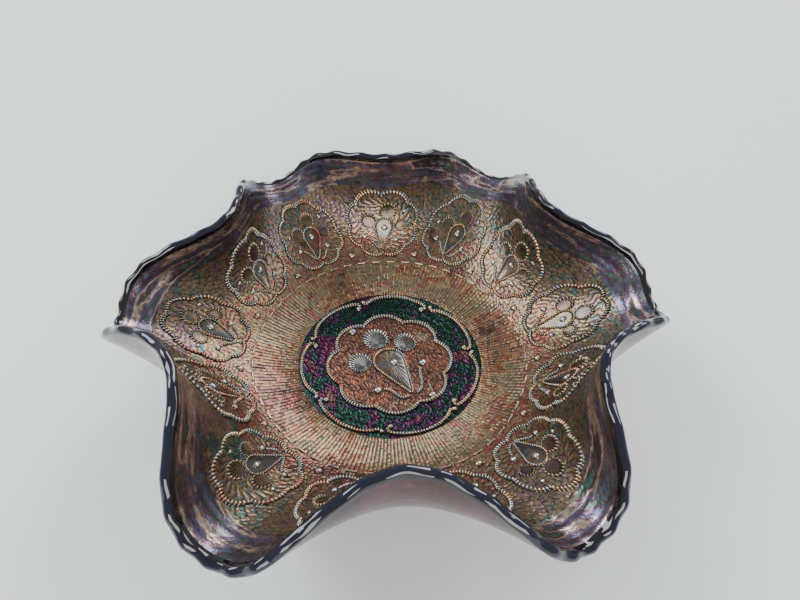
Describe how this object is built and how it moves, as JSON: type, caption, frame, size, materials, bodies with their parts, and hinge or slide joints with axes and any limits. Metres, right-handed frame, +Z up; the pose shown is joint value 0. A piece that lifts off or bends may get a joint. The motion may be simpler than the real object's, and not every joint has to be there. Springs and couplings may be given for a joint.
{
  "type": "ruffled glass bowl",
  "caption": "Ruffled bowl of pressed cobalt glass with an iridescent film, a scalloped rim, roped medallions round the wall and a paisley in the well.",
  "frame": {"origin": "middle of the foot ring's ground contact", "axes": "+Z up out of the bowl, +X to the right of a person facing the bowl and looking along +Y; one lobe of the rim points close to +X"},
  "size_m": [0.218, 0.216, 0.0687],
  "materials": {
    "base_glass": "cobalt glass with a thin mauve iridescent film",
    "iridised_floor": "cobalt glass under a bronze, green and magenta iridescent film",
    "iridised_wall": "cobalt glass under a bronze, teal and purple iridescent film",
    "cobalt_rim": "fire-polished cobalt glass",
    "iridised_band": "cobalt glass under a rose and grey-gold iridescent film",
    "rope_relief": "pressed relief with a pale bronze iridescent film",
    "bright_relief": "pressed relief with a silvery iridescent film"
  },
  "bodies": {
    "root": {"foot_ring": "base_glass", "well_floor": "iridised_floor", "bowl_wall": "iridised_wall", "ruffled_wall": "iridised_wall", "rim_edge": "cobalt_rim", "threaded_band": "iridised_band", "dash_marks": "bright_relief", "medallion_outlines": "rope_relief", "medallion_paisleys": "rope_relief", "medallion_petals": "bright_relief", "medallion_curls": "rope_relief", "medallion_beads": "bright_relief", "star_beads": "bright_relief", "scroll_ring": "rope_relief", "centre_cartouche": "rope_relief", "centre_paisley": "rope_relief", "centre_petals": "bright_relief", "centre_curls": "rope_relief", "centre_beads": "bright_relief"}
  },
  "joints": []
}
